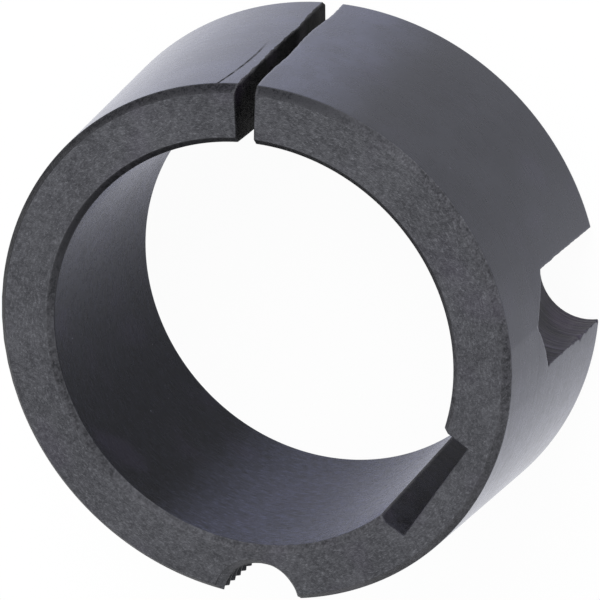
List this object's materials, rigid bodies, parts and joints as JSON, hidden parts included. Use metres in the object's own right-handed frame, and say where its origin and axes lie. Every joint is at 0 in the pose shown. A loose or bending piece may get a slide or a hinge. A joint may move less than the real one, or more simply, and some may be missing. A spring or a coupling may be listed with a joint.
{
  "type": "taper bush",
  "caption": "Split tapered cast-iron bush with a keyed bore and half-holes for screws, which clamps a pulley or sprocket hub onto a shaft.",
  "frame": {"origin": "centre of the large end face, on the shaft's axis", "axes": "+Z along the shaft, from the large end to the small end; +X through the middle of the keyway"},
  "size_m": [0.057, 0.057, 0.0254],
  "materials": {
    "phosphated_iron": "machined grey cast iron, blackened, satin"
  },
  "bodies": {
    "root": {"taper_bush": "phosphated_iron"}
  },
  "joints": []
}
